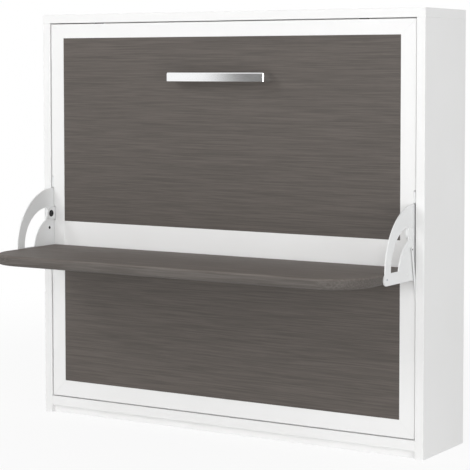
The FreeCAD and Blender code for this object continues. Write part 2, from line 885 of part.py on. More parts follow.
def buildDeskTop():
    deskFrontY = f"({front} - dims.deskFront)"
    deskBackY = f"({front} - dims.deskBack)"
    corners = [
        ("-dims.deskHalf", deskBackY),
        ("-dims.deskHalf", deskFrontY),
        ("dims.deskHalf", deskFrontY),
        ("dims.deskHalf", deskBackY),
    ]
    low = "(dims.deskTop - dims.deskThickness)"
    body = padOutline("DeskTop", "XY_Plane", corners, "dims.deskThickness", low)
    frontY = number(deskFrontY)
    backY = number(deskBackY)
    roundEdges(
        body,
        "dims.deskCorner",
        lambda edge: edge.BoundBox.ZLength > slack and edge.BoundBox.YMax < frontY + slack,
    )
    roundEdges(
        body,
        "dims.deskEdgeRound",
        lambda edge: edge.BoundBox.ZLength < slack and edge.BoundBox.YMin < backY - slack,
    )
    screwHoles = [
        disc(
            span(side, f"{armInner} - dims.armScrewDepth - dims.threadSpare", f"{armInner} + dims.cutOver"),
            f"{front} - {forward}",
            "dims.armScrewHeight",
            "dims.armScrewRadius + dims.pinClearance",
        )
        for side in (left, right)
        for forward in ("dims.armScrewFront", "dims.armScrewBack")
    ]
    keep(cut(body, *screwHoles), "desk_top")


buildDeskTop()


def buildArm(side):
    """A quarter-round side plate with a crescent window and a rounded lower front tip."""
    xs = span(side, armInner, armOuter)

    def ahead(distance):
        return f"({front} - {distance})"

    above = "(dims.deskTop + dims.armArcRadius)"

    def slab(farForward, nearForward, low, high):
        return block(xs, (ahead(farForward), ahead(nearForward)), (low, high))

    sector = common(
        disc(xs, ahead("dims.armArcForward"), "dims.armArcHeight", "dims.armArcRadius"),
        slab("dims.armArcRadius", "dims.armBack", "dims.deskTop", above),
    )
    strip = slab("dims.armTipForward", "dims.armBack", "dims.armBottom", "dims.deskTop")
    tipHeight = "(dims.armBottom + dims.armTipRadius)"
    tip = disc(xs, ahead("dims.armTipForward"), tipHeight, "dims.armTipRadius")
    shoulder = slab("dims.armTipShoulder", "dims.armTipForward", tipHeight, "dims.deskTop")
    window = common(
        disc(xs, ahead("dims.windowForward"), "dims.windowHeight", "dims.windowRadius"),
        slab("dims.armArcRadius", "dims.windowBack", "dims.deskTop", above),
    )
    leaf = disc(xs, ahead("dims.leafForward"), "dims.leafHeight", "dims.leafRadius")
    plate = cut(fuse(sector, strip, tip, shoulder), cut(window, leaf))
    holes = [
        disc(xs, deskPivotY, "dims.deskPivotHeight", "dims.deskPivotRadius + dims.pinClearance"),
        disc(xs, rodTopY, rodTopZ, "dims.rodPinRadius + dims.pinClearance"),
    ]
    for forward in ("dims.armScrewFront", "dims.armScrewBack"):
        hole = "dims.armScrewRadius + dims.pinClearance"
        holes.append(disc(xs, ahead(forward), "dims.armScrewHeight", hole))
    keep(cut(plate, *holes), f"desk_arm_{sideNames[side]}")


for side in (left, right):
    buildArm(side)


def buildArmScrew(side, forward):
    y = f"({front} - {forward})"
    headX = span(side, armOuter, f"{armOuter} + dims.armScrewHead")
    shankX = span(side, f"{armInner} - dims.armScrewDepth", armOuter)
    head = disc(headX, y, "dims.armScrewHeight", "dims.armScrewHeadRadius")
    shank = disc(shankX, y, "dims.armScrewHeight", "dims.armScrewRadius")
    return fuse(head, shank)


armScrews = [
    buildArmScrew(side, forward)
    for side in (left, right)
    for forward in ("dims.armScrewFront", "dims.armScrewBack")
]
keep(group(*armScrews), "desk_arm_screws")


def buildUpperRodPin(side):
    """A headed pin through the desk's side plate, which the level rod's upper eye turns on."""
    headX = span(side, f"{armInner} - dims.rodPinHead", armInner)
    shankX = span(side, armInner, "dims.rodInner + dims.rodThickness + dims.rodPinProud")
    head = disc(headX, rodTopY, rodTopZ, "dims.rodPinHeadRadius")
    shank = disc(shankX, rodTopY, rodTopZ, "dims.rodPinRadius")
    return fuse(head, shank)


keep(group(buildUpperRodPin(left), buildUpperRodPin(right)), "rod_pins_upper")

# Level rods, in the gap between the bed and the cabinet's sides


def buildLevelRod(side):
    xs = span(side, "dims.rodInner", "dims.rodInner + dims.rodThickness")
    bar = barBetween(xs, (rodLowY, rodLowZ), (rodTopY, rodTopZ), "dims.rodWidth")
    eyes = [disc(xs, y, z, "dims.rodEyeRadius") for y, z in ((rodLowY, rodLowZ), (rodTopY, rodTopZ))]
    holes = [
        disc(xs, y, z, "dims.rodPinRadius + dims.pinClearance")
        for y, z in ((rodLowY, rodLowZ), (rodTopY, rodTopZ))
    ]
    keep(cut(fuse(bar, *eyes), *holes), f"level_rod_{sideNames[side]}")


for side in (left, right):
    buildLevelRod(side)

# Support leg: two cranked flat bars joined by a round bar that holds the mattress when closed


def buildLegArm(side):
    xs = span(side, "dims.legInner", legOuter)
    pivot = (legPivotY, "dims.legPivotHeight")
    elbow = (elbowY, elbowZ)
    foot = (legFootY, legFootZ)
    bars = [
        barBetween(xs, pivot, elbow, "dims.legWidth"),
        barBetween(xs, elbow, foot, "dims.legWidth"),
    ]
    rounds = [disc(xs, y, z, "dims.legWidth / 2") for y, z in (pivot, elbow)]
    end = disc(xs, legFootY, legFootZ, "dims.legBarRadius")
    hole = disc(xs, *pivot, "dims.legPinRadius + dims.pinClearance")
    keep(cut(fuse(*bars, *rounds, end), hole), f"leg_arm_{sideNames[side]}")


for side in (left, right):
    buildLegArm(side)

crossBarX = ("-dims.legInner", "dims.legInner")
keep(disc(crossBarX, legFootY, legFootZ, "dims.legBarRadius"), "leg_crossbar")


def buildLegFoot(side):
    """A rubber sleeve on the round bar, which stands on the floor."""
    middle = f"{side} * dims.footSpacing"
    xs = (f"{middle} - dims.footLength / 2", f"{middle} + dims.footLength / 2")
    outside = disc(xs, legFootY, legFootZ, "dims.footRadius")
    inside = disc(xs, legFootY, legFootZ, "dims.legBarRadius + dims.pinClearance")
    return cut(outside, inside)


keep(group(buildLegFoot(left), buildLegFoot(right)), "leg_feet")


def buildLegBracket(side):
    """A plate at the top of the bed's side tube that carries the leg's pin."""
    xs = span(side, "dims.frameOuter", "(dims.frameOuter + dims.legBracketThickness)")
    plate = block(
        xs,
        (faceBack, f"{front} + dims.legBracketBack"),
        ("dims.legBracketFrom", "dims.legBracketTo"),
    )
    hole = disc(xs, legPivotY, "dims.legPivotHeight", "dims.legPinRadius + dims.pinClearance")
    return cut(plate, hole)


keep(group(buildLegBracket(left), buildLegBracket(right)), "leg_brackets")


def buildLegPin(side):
    xs = span(side, "dims.frameOuter", f"{legOuter} + dims.legPinProud")
    return disc(xs, legPivotY, "dims.legPivotHeight", "dims.legPinRadius")


keep(group(buildLegPin(left), buildLegPin(right)), "leg_pins")

# Gas struts beside the mattress, from the cabinet's sides to the bed's lower end

strutTop = (strutTopY, "dims.strutTopHeight")
strutLow = (strutLowY, "dims.strutLowHeight")
strutRun = f"sqrt(({strutLowY} - {strutTopY})^2 + (dims.strutLowHeight - dims.strutTopHeight)^2)"


def strutBar(side, near, far, radius):
    rod, (y, z) = rodAlong(strutTop, strutLow, near, far, radius)
    return place(rod, f"{side} * dims.strutCentre", y, z)


def buildStrut(side):
    """One strut: the cylinder with its upper eye, and the rod with the lower one."""
    eyeEdge = "(dims.strutEyeRadius - dims.strutWeld)"
    eyeX = span(side, strutInner, strutOuter)
    upperEye = disc(eyeX, *strutTop, "dims.strutEyeRadius")
    upperHole = disc(eyeX, *strutTop, "dims.strutStudRadius + dims.pinClearance")
    tube = strutBar(side, "dims.strutTubeFrom", "dims.strutTubeTo", "dims.strutRadius")
    neck = strutBar(side, eyeEdge, "dims.strutTubeFrom + dims.cutOver", "dims.strutRodRadius")
    bored = strutBar(side, "dims.strutBoreFrom", "dims.strutTubeTo + dims.cutOver", "dims.strutBore")
    cylinder = cut(fuse(upperEye, neck, tube), upperHole, bored)
    keep(cylinder, f"strut_cylinder_{sideNames[side]}")
    lowerEye = disc(eyeX, *strutLow, "dims.strutEyeRadius")
    lowerHole = disc(eyeX, *strutLow, "dims.strutStudRadius + dims.pinClearance")
    rod = strutBar(side, "dims.strutRodFrom", f"{strutRun} - {eyeEdge}", "dims.strutRodRadius")
    keep(cut(fuse(rod, lowerEye), lowerHole), f"strut_rod_{sideNames[side]}")


for side in (left, right):
    buildStrut(side)


def buildStrutBracket(side):
    """A plate on the bed's side tube with the stud at the strut's lower end."""
    outerX = "(dims.frameOuter + dims.strutBracketThickness)"
    xs = span(side, "dims.frameOuter", outerX)
    plate = block(
        xs,
        (faceBack, f"{strutLowY} + dims.strutBracketBack"),
        ("dims.strutLowHeight - dims.strutBracketHalf", "dims.strutLowHeight + dims.strutBracketHalf"),
    )
    stud = disc(span(side, outerX, "dims.strutStudEnd"), *strutLow, "dims.strutStudRadius")
    return fuse(plate, stud)


keep(group(buildStrutBracket(left), buildStrutBracket(right)), "strut_brackets")

doc.recompute()

for item in doc.Objects:
    faults = [state for state in item.State if state in ("Invalid", "Error")]
    if faults:
        raise RuntimeError(f"{item.Name} ({item.Label}) is {faults}")
for piece in parts:
    if piece.Shape.isNull() or not piece.Shape.isValid() or not piece.Shape.Solids:
        raise RuntimeError(f"{piece.Label} has no valid solid")

os.makedirs("parts", exist_ok=True)
for piece in parts:
    piece.Shape.exportStep(f"parts/{piece.Label}.step")
    volume = sum(solid.Volume for solid in piece.Shape.Solids)
    print(f"{piece.Label}: {len(piece.Shape.Solids)} solids, {volume / 1e6:.3f} litres")
print(f"{len(parts)} sub-parts written")
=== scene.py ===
import math

import bmesh
import bpy
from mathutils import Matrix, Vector
from mathutils.bvhtree import BVHTree


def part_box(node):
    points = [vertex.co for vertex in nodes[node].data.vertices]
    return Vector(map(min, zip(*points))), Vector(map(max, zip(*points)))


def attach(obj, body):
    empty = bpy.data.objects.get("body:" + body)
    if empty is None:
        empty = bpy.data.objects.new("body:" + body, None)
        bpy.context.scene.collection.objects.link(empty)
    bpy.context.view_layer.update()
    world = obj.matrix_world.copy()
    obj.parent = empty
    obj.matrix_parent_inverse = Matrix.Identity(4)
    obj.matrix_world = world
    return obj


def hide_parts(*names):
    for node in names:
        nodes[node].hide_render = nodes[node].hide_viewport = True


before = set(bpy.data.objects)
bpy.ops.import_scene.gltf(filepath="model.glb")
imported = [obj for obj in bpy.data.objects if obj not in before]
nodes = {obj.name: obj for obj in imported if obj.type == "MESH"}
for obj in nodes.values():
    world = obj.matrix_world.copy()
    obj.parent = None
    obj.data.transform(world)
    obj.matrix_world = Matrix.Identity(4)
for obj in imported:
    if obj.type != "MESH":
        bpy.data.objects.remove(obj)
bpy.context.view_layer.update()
scene = bpy.context.scene
print("frame loaded:", len(nodes), "nodes")


# Node trees: sums on wires add Math nodes, and every other node comes from Bench.node
class Wire:
    def __init__(self, bench, socket):
        self.bench = bench
        self.socket = socket

    def calc(self, operation, *values):
        inputs = dict(enumerate(values))
        return self.bench.node("ShaderNodeMath", {"operation": operation}, inputs)

    def __add__(self, other):
        return self.calc("ADD", self, other)

    def __radd__(self, other):
        return self.calc("ADD", other, self)

    def __sub__(self, other):
        return self.calc("SUBTRACT", self, other)

    def __rsub__(self, other):
        return self.calc("SUBTRACT", other, self)

    def __mul__(self, other):
        return self.calc("MULTIPLY", self, other)

    def __rmul__(self, other):
        return self.calc("MULTIPLY", other, self)


class Bench:
    def __init__(self, tree):
        self.tree = tree
        tree.nodes.clear()

    def node(self, kind, settings=None, inputs=None, output=0):
        made = self.tree.nodes.new(kind)
        for name, value in (settings or {}).items():
            if name == "stops":
                stops = made.color_ramp.elements
                while len(stops) < len(value):
                    stops.new(0.5)
                for stop, (place, colour) in zip(stops, value):
                    stop.position = place
                    stop.color = colour
            else:
                setattr(made, name, value)
        for key, value in (inputs or {}).items():
            if isinstance(value, Wire):
                self.tree.links.new(value.socket, made.inputs[key])
            else:
                made.inputs[key].default_value = value
        return Wire(self, made.outputs[output]) if made.outputs else None

    def position(self):
        return self.node("ShaderNodeTexCoord", output="Object")

    def along(self, axis, where):
        return self.node("ShaderNodeSeparateXYZ", {}, {"Vector": where}, axis)

    def vector(self, operation, first, second):
        return self.node("ShaderNodeVectorMath", {"operation": operation}, {0: first, 1: second})

    def mixColours(self, amount, low, high):
        return self.node("ShaderNodeMix", {"data_type": "RGBA"}, {0: amount, 6: low, 7: high}, 2)

    def noiseAt(self, where, scale, detail=2.0, roughness=0.5):
        inputs = {"Vector": where, "Scale": scale, "Detail": detail, "Roughness": roughness}
        return self.node("ShaderNodeTexNoise", {}, inputs, "Fac")

    def noise(self, scale, detail=2.0, roughness=0.5, stretch=(1, 1, 1)):
        inputs = {"Vector": self.position(), "Scale": stretch}
        where = self.node("ShaderNodeMapping", {"vector_type": "POINT"}, inputs)
        return self.noiseAt(where, scale, detail, roughness)

    def fade(self, value, low, high, start=0.0, end=1.0):
        # a smooth step from start to end, while the value goes from low to high
        inputs = {"Value": value, "From Min": low, "From Max": high}
        inputs.update({"To Min": start, "To Max": end})
        return self.node("ShaderNodeMapRange", {"interpolation_type": "SMOOTHSTEP"}, inputs)

    def bump(self, height, strength, distance):
        inputs = {"Height": height, "Strength": strength, "Distance": distance}
        return self.node("ShaderNodeBump", {}, inputs)

    def coated(self, inputs):
        return self.node("ShaderNodeBsdfPrincipled", {}, inputs)


def vary(middle, noise, spread):
    # noise runs about 0.5, so the result runs about the middle value
    return middle + (noise - 0.5) * spread


def linear(red, green, blue):
    # a colour given as 0-255 numbers on screen
    def channel(value):
        value /= 255
        return value / 12.92 if value <= 0.04045 else ((value + 0.055) / 1.055) ** 2.4

    return (channel(red), channel(green), channel(blue), 1)


def shaded(colour, factor):
    return (*[min(1, channel * factor) for channel in colour[:3]], 1)


def makeFinish(name, build, *settings):
    material = bpy.data.materials.new(name)
    material.use_nodes = True
    bench = Bench(material.node_tree)
    surface = build(bench, *settings)
    bench.node("ShaderNodeOutputMaterial", {}, {"Surface": surface})
    return material


# In every look a noise is given as (scale, detail, roughness, stretch), the last two
# where they matter, and a relief as (bump strength, depth in metres)

# White lacquer on the boards of the cabinet and the bed's face
lacquerLook = {
    "colour": linear(239, 239, 239),
    "shade": linear(233, 233, 232),
    "cloud": (2.4, 3),
    "orangePeel": (260, 2),
    "relief": (0.25, 0.00002),
    "handling": (7, 4, 0.6, (1, 1, 0.6)),
    "roughness": 0.42,
    "roughnessSpread": 0.1,
}


def lacquer(bench, look):
    cloud = bench.noise(*look["cloud"])
    peel = bench.noise(*look["orangePeel"])
    handled = bench.noise(*look["handling"])
    return bench.coated(
        {
            "Base Color": bench.mixColours(cloud, look["shade"], look["colour"]),
            "Roughness": vary(look["roughness"], handled, look["roughnessSpread"]),
            "Normal": bench.bump(peel, *look["relief"]),
        }
    )


# Grey laminate with a fine, slightly wavy grain along the boards. The grain's lines are
# given as (scale along, scale across, detail, roughness); their shares make the tone.
laminateLook = {
    "light": linear(87, 80, 75),
    "dark": linear(69, 63, 58),
    "ramp": (0.32, 0.68),
    "swell": (1.6, 2, 0.5, (0.9, 2.0, 2.0)),
    "swellPush": 0.012,
    "ripple": (1.0, 2, 0.5, (5.0, 14.0, 14.0)),
    "ripplePush": 0.003,
    "broadLines": (0.45, 9, 3, 0.5),
    "broadShare": 0.08,
    "streakLines": (4, 190, 2, 0.5),
    "fineLines": (9, 420, 2, 0.6),
    "fineShare": 0.3,
    "toneDrop": 0.19,
    "poreLines": (16, 720, 2, 0.5),
    "poreFade": (0.58, 0.72),
    "poreShade": 0.72,
    "poreShare": 0.35,
    "streakRelief": 0.5,
    "fineRelief": 0.5,
    "poreRelief": 0.6,
    "relief": (0.5, 0.00008),
    "roughness": 0.58,
    "roughnessSpread": 0.16,
    "poreRoughness": 0.1,
    "specular": 0.5,
}
# The desk is the same laminate, painted lighter as painted light on its top, and darker below its
# top edge as painted shade
deskPaintedLightLook = dict(
    laminateLook,
    light=linear(124, 117, 112),
    dark=linear(100, 93, 88),
    roughness=0.6,
    specular=0.2,
    edgeShade=(0.67, 0.69, 0.70),
    edgeHeights=(0.799, 0.809),
)


def laminate(bench, look):
    swell = bench.noise(*look["swell"]) - 0.5
    ripple = bench.noise(*look["ripple"]) - 0.5
    shift = swell * look["swellPush"] + ripple * look["ripplePush"]
    where = bench.position()
    push = bench.node("ShaderNodeCombineXYZ", {}, {"Y": shift, "Z": shift})
    moved = bench.vector("ADD", where, push)

    def lines(scaleAlong, scaleAcross, detail, roughness):
        scaled = bench.vector("MULTIPLY", moved, (scaleAlong, scaleAcross, scaleAcross))
        return bench.noiseAt(scaled, 1.0, detail, roughness)

    broad = lines(*look["broadLines"])
    streaks = lines(*look["streakLines"])
    fine = lines(*look["fineLines"])
    pores = bench.fade(lines(*look["poreLines"]), *look["poreFade"])
    tone = broad * look["broadShare"] + streaks + fine * look["fineShare"] - look["toneDrop"]
    stops = list(zip(look["ramp"], (look["dark"], look["light"])))
    colour = bench.node("ShaderNodeValToRGB", {"stops": stops}, {"Fac": tone})
    poreColour = shaded(look["dark"], look["poreShade"])
    colour = bench.mixColours(pores * look["poreShare"], colour, poreColour)
    # painted shade: the colour is darkened below the desk's top edge, on its front edge and
    # underside
    if "edgeShade" in look:
        paintedShadeColour = bench.vector("MULTIPLY", colour, look["edgeShade"])
        onTop = bench.fade(bench.along("Z", where), *look["edgeHeights"])
        colour = bench.mixColours(onTop, paintedShadeColour, colour)
    grainRelief = streaks * look["streakRelief"] + fine * look["fineRelief"]
    relief = grainRelief - pores * look["poreRelief"]
    roughness = vary(look["roughness"], fine, look["roughnessSpread"])
    return bench.coated(
        {
            "Base Color": colour,
            "Roughness": roughness + pores * look["poreRoughness"],
            "Specular IOR Level": look["specular"],
            "Normal": bench.bump(relief, *look["relief"]),
        }
    )


# Powder-coated steel: fine orange peel, chalky gloss
powderLooks = {
    "white_steel": {"colour": linear(236, 237, 237), "roughness": 0.38, "grain": (900, 3, 0.6)},
    "grey_steel": {"colour": linear(132, 134, 137), "roughness": 0.5, "grain": (1100, 3, 0.6)},
    "black_steel": {"colour": linear(18, 18, 20), "roughness": 0.24, "grain": (700, 3, 0.6)},
}
powderCoat = {
    "drift": (6, 3),
    "driftShade": 0.93,
    "relief": (0.3, 0.00003),
    "roughnessSpread": 0.12,
}


def powder(bench, look):
    coat = powderCoat
    grain = bench.noise(*look["grain"])
    drift = bench.noise(*coat["drift"])
    darker = shaded(look["colour"], coat["driftShade"])
    return bench.coated(
        {
            "Base Color": bench.mixColours(drift, darker, look["colour"]),
            "Roughness": vary(look["roughness"], grain, coat["roughnessSpread"]),
            "Normal": bench.bump(grain, *coat["relief"]),
        }
    )


# Polished chrome of the handle, with faint wipe marks
chromeLook = {
    "colour": linear(247, 248, 249),
    "roughness": 0.09,
    "wipes": (1, 4, 0.6, (9, 30, 30)),
    "wipeMiddle": 0.4,
    "smear": 0.05,
    "specks": (420, 2),
    "speckShare": 0.01,
}


def chrome(bench, look):
    wipes = bench.noise(*look["wipes"])
    specks = bench.noise(*look["specks"])
    wiped = look["roughness"] + (wipes - look["wipeMiddle"]) * look["smear"]
    return bench.coated(
        {
            "Base Color": look["colour"],
            "Metallic": 1.0,
            "Roughness": wiped + specks * look["speckShare"],
        }
    )


# Zinc plating: small spangles over drawn lines
zincLook = {
    "bright": linear(206, 208, 212),
    "dull": linear(168, 171, 176),
    "spangleScale": 140,
    "drawn": (1, 2, 0.5, (60, 60, 1100)),
    "spangleShare": 0.5,
    "drawnShare": 0.5,
    "relief": (0.2, 0.00002),
    "roughness": 0.34,
    "roughnessSpread": 0.12,
    "drawnRoughness": 0.08,
}


def zinc(bench, look):
    where = bench.position()
    spangle = bench.node(
        "ShaderNodeTexVoronoi",
        {"feature": "F1"},
        {"Vector": where, "Scale": look["spangleScale"]},
        "Color",
    )
    patch = bench.node("ShaderNodeSeparateColor", {}, {"Color": spangle})
    drawn = bench.noise(*look["drawn"])
    roughness = vary(look["roughness"], patch, look["roughnessSpread"])
    tone = patch * look["spangleShare"] + drawn * look["drawnShare"]
    return bench.coated(
        {
            "Base Color": bench.mixColours(tone, look["dull"], look["bright"]),
            "Metallic": 1.0,
            "Roughness": roughness + look["drawnRoughness"] * drawn,
            "Normal": bench.bump(drawn, *look["relief"]),
        }
    )


# Pale birch of the slats: growth bands and fine fibres along each slat
birchLook = {
    "light": linear(222, 196, 156),
    "dark": linear(196, 163, 118),
    "bands": (1, 4, 0.55, (38, 38, 1.1)),
    "bandShare": 0.7,
    "fibres": (1, 3, 0.6, (420, 420, 9)),
    "fibreShare": 0.3,
    "relief": (0.4, 0.00005),
    "roughness": 0.5,
    "roughnessSpread": 0.2,
}


def birch(bench, look):
    bands = bench.noise(*look["bands"])
    fibres = bench.noise(*look["fibres"])
    tone = bands * look["bandShare"] + fibres * look["fibreShare"]
    return bench.coated(
        {
            "Base Color": bench.mixColours(tone, look["dark"], look["light"]),
            "Roughness": vary(look["roughness"], fibres, look["roughnessSpread"]),
            "Normal": bench.bump(fibres, *look["relief"]),
        }
    )


# Moulded plastic and rubber: a fine grain with a paler bloom
mouldedLooks = {
    "black_plastic": {
        "colour": linear(46, 46, 48),
        "roughness": 0.55,
        "grain": (1500, 3, 0.65),
        "relief": (0.5, 0.00004),
    },
    "black_rubber": {
        "colour": linear(34, 34, 34),
        "roughness": 0.82,
        "grain": (500, 3, 0.65),
        "relief": (0.5, 0.0001),
    },
}
mouldedBloom = {"noise": (12, 3), "shade": 1.35, "roughnessSpread": 0.16}


def moulded(bench, look):
    grain = bench.noise(*look["grain"])
    bloom = bench.noise(*mouldedBloom["noise"])
    paler = shaded(look["colour"], mouldedBloom["shade"])
    return bench.coated(
        {
            "Base Color": bench.mixColours(bloom, look["colour"], paler),
            "Roughness": vary(look["roughness"], grain, mouldedBloom["roughnessSpread"]),
            "Normal": bench.bump(grain, *look["relief"]),
        }
    )


# Knitted mattress cover: ribs of small stitches, darkened in their hollows as painted shade
knitLook = {
    "colour": linear(238, 236, 230),
    "valley": linear(206, 203, 196),
    "stitch": 0.0032,
    "slant": 0.5,
    "fuzz": (1300, 2),
    "reliefShares": (0.55, 0.35, 0.3),
    "relief": (0.5, 0.00035),
    "roughness": 0.87,
    "roughnessSpread": 0.1,
    "sheen": 0.15,
}


def knit(bench, look):
    where = bench.position()
    x, y, z = (bench.along(axis, where) for axis in "XYZ")
    turns = 2 * math.pi / look["stitch"]

    def wave(amount):
        return amount.calc("SINE", amount) * 0.5 + 0.5

    across = wave((x + y) * turns)
    down = wave((z - y) * turns + (x - y) * turns * look["slant"])
    fuzz = bench.noise(*look["fuzz"])
    shares = look["reliefShares"]
    # the relief also darkens the colour in its hollows: painted shade
    relief = across * shares[0] + down * shares[1] + fuzz * shares[2]
    return bench.coated(
        {
            "Base Color": bench.mixColours(relief, look["valley"], look["colour"]),
            "Roughness": vary(look["roughness"], fuzz, look["roughnessSpread"]),
            "Normal": bench.bump(relief, *look["relief"]),
            "Sheen Weight": look["sheen"],
        }
    )


finishes = {
    "white_lacquer": makeFinish("lacquerWhite", lacquer, lacquerLook),
    "grey_wood": makeFinish("laminateGrey", laminate, laminateLook),
    "grey_wood_desk": makeFinish("laminateDeskPaintedLight", laminate, deskPaintedLightLook),
    "polished_chrome": makeFinish("chromeBright", chrome, chromeLook),
    "zinc_steel": makeFinish("zincPlated", zinc, zincLook),
    "pale_birch": makeFinish("birchSlat", birch, birchLook),
    "mattress_cloth": makeFinish("knitCover", knit, knitLook),
}
for slotName, look in powderLooks.items():
    finishes[slotName] = makeFinish("powder_" + slotName, powder, look)
for slotName, look in mouldedLooks.items():
    finishes[slotName] = makeFinish("moulded_" + slotName, moulded, look)
for piece in nodes.values():
    for place in piece.material_slots:
        place.material = finishes[place.material.name.split(".")[0]]
print("finishes made:", len(finishes))


def addObject(name, data):
    made = bpy.data.objects.new(name, data)
    scene.collection.objects.link(made)
    return made


def meshFrom(name, mesh):
    data = bpy.data.meshes.new(name)
    mesh.to_mesh(data)
    mesh.free()
    return data


# Shapes made by rule: Geometry Nodes trees, turned into plain meshes
def openTree(name, sockets):
    tree = bpy.data.node_groups.new(name, "GeometryNodeTree")
    bench = Bench(tree)
    tree.interface.new_socket("Geometry", in_out="OUTPUT", socket_type="NodeSocketGeometry")
    entry = tree.nodes.new("NodeGroupInput")
    for title, kind in sockets.items():
        tree.interface.new_socket(title, in_out="INPUT", socket_type="NodeSocket" + kind)
    wires = {title: Wire(bench, entry.outputs[title]) for title in sockets}
    return tree, bench, wires


def closeTree(bench, shape, finish):
    whole = bench.node("GeometryNodeRealizeInstances", {}, {"Geometry": shape})
    painted = bench.node("GeometryNodeSetMaterial", {}, {"Geometry": whole, "Material": finish})
    bench.node("NodeGroupOutput", {}, {0: painted})


def growPiece(name, tree, values, start=None, crease=30):
    host = addObject(name, start or bpy.data.meshes.new(name))
    modifier = host.modifiers.new("grow", "NODES")
    modifier.node_group = tree
    for item in tree.interface.items_tree:
        if item.in_out == "INPUT" and item.name in values:
            modifier[item.identifier] = values[item.name]
    view = bpy.context.evaluated_depsgraph_get()
    grown = bpy.data.meshes.new_from_object(host.evaluated_get(view))
    host.modifiers.remove(modifier)
    host.data = grown
    grown.name = name
    grown.shade_smooth()
    grown.set_sharp_from_angle(angle=math.radians(crease))
    return host


def fastenerTree():
    # one turned fastener on every point, its axis along the point's own direction
    sockets = {
        "Points": "Geometry",
        "Fastener": "Object",
        "Seed": "Int",
        "Finish": "Material",
    }
    tree, bench, given = openTree("fastenersOnPoints", sockets)
    shape = bench.node("GeometryNodeObjectInfo", {}, {"Object": given["Fastener"]}, "Geometry")
    facing = bench.node(
        "GeometryNodeInputNamedAttribute", {"data_type": "FLOAT_VECTOR"}, {"Name": "facing"}
    )
    aimed = bench.node("FunctionNodeAlignRotationToVector", {"axis": "Z"}, {"Vector": facing})
    spin = bench.node(
        "FunctionNodeRandomValue",
        {"data_type": "FLOAT"},
        {2: 0.0, 3: 2 * math.pi, "Seed": given["Seed"]},
        1,
    )
    own = bench.node("FunctionNodeAxisAngleToRotation", {}, {"Axis": (0, 0, 1), "Angle": spin})
    turned = bench.node(
        "FunctionNodeRotateRotation",
        {"rotation_space": "LOCAL"},
        {"Rotation": aimed, "Rotate By": own},
    )
    placed = bench.node(
        "GeometryNodeInstanceOnPoints",
        {},
        {"Points": given["Points"], "Instance": shape, "Rotation": turned},
    )
    closeTree(bench, placed, given["Finish"])
    return tree


fasteners = fastenerTree()
fastenerSeed = 7


def turnedShape(name, sides, outline, socket=()):
    # outline: (radius, height) from the shank's tip to the head; socket: its hexagonal rings
    mesh = bmesh.new()

    def ring(radius, height, hexagonal):
        loop = []
        for step in range(sides):
            angle = 2 * math.pi * step / sides
            reach = radius
            if hexagonal:
                reach = radius / math.cos((angle % (math.pi / 3)) - math.pi / 6)
            spot = (reach * math.cos(angle), reach * math.sin(angle), height)
            loop.append(mesh.verts.new(spot))
        return loop

    loops = [ring(*size, False) for size in outline] + [ring(*size, True) for size in socket]
    for low, high in zip(loops, loops[1:]):
        for step in range(sides):
            after = (step + 1) % sides
            mesh.faces.new((low[step], low[after], high[after], high[step]))
    mesh.faces.new(list(reversed(loops[0])))
    mesh.faces.new(loops[-1])
    return bpy.data.objects.new(name, meshFrom(name, mesh))


def shankAndRim(size):
    # a plain shank with a chamfered tip, then the underside and the rim of the head
    shank, reach = size["shank"], size["reach"]
    return [
        (shank * size["tip"], -reach),
        (shank, -reach + size["chamfer"]),
        (shank, 0),
        (size["head"], 0),
        (size["head"], size["height"] * size["rim"]),
    ]


def domeRings(size):
    # the head's rounded top, in six steps from its rim to its flat middle
    head, tall, rim, flat = (size[key] for key in ("head", "height", "rim", "flat"))
    rings = []
    for step in range(1, 7):
        angle = math.radians(size["domeStep"] * step)
        radius = head * (flat + (1 - flat) * math.cos(angle))
        rings.append((radius, tall * (rim + (1 - rim) * math.sin(angle))))
    return rings


def setFasteners(name, spots, shape, slotName, body, stands):
    mesh = bpy.data.meshes.new(name)
    mesh.from_pydata([spot for spot, facing in spots], [], [])
    pointed = mesh.attributes.new("facing", "FLOAT_VECTOR", "POINT")
    for item, (spot, facing) in zip(pointed.data, spots):
        item.vector = facing
    values = {"Fastener": shape, "Seed": fastenerSeed, "Finish": finishes[slotName]}
    piece = growPiece(name, fasteners, values, mesh)
    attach(piece, body)
    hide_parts(stands)


def bothSides(x, y, z, outward=1):
    # one spot at each side, facing away from the middle, or towards it with outward=-1
    return [((side * x, y, z), (side * outward, 0, 0)) for side in (-1, 1)]


# Round-headed socket screws that hold the desk to its side plates
armScrew = {
    "head": 0.005,
    "height": 0.0018,
    "rim": 0.25,
    "socket": 0.0020,
    "shank": 0.0025,
    "reach": 0.045,
    "tip": 0.4,
    "chamfer": 0.003,
    "x": 0.958,
    "z": 0.787,
    "sides": 24,
    "rows": (("Front", -0.645, "zinc_steel"), ("Rear", -0.460, "white_steel")),
}


def armScrewShape(size):
    head, tall, hole = size["head"], size["height"], size["socket"]
    outline = shankAndRim(size)
    outline += [(head * 0.93, tall * 0.62), (head * 0.78, tall * 0.9), (head * 0.6, tall)]
    socket = [(hole * 1.12, tall), (hole, tall * 0.9), (hole, tall * 0.15)]
    return turnedShape("armScrewShape", size["sides"], outline, socket)


def addArmScrews(size):
    shape = armScrewShape(size)
    for row, y, slotName in size["rows"]:
        spots = bothSides(size["x"], y, size["z"])
        setFasteners("armScrews" + row, spots, shape, slotName, "desk", "desk_arm_screws")


addArmScrews(armScrew)

# Desk pivots: domed pins with a hexagonal socket, seen from inside the side plates
pivotPin = {
    "head": 0.0158,
    "height": 0.004,
    "rim": 0.2,
    "flat": 0.62,
    "domeStep": 15,
    "socket": 0.0052,
    "shank": 0.007,
    "reach": 0.0143,
    "tip": 0.9,
    "chamfer": 0.001,
    "sides": 48,
    "place": (0.944, -0.425, 0.960),
}


def pivotPinShape(size):
    tall, hole = size["height"], size["socket"]
    socket = [(hole * 1.15, tall), (hole, tall * 0.93), (hole, tall * 0.25)]
    outline = shankAndRim(size) + domeRings(size)
    return turnedShape("pivotPinShape", size["sides"], outline, socket)
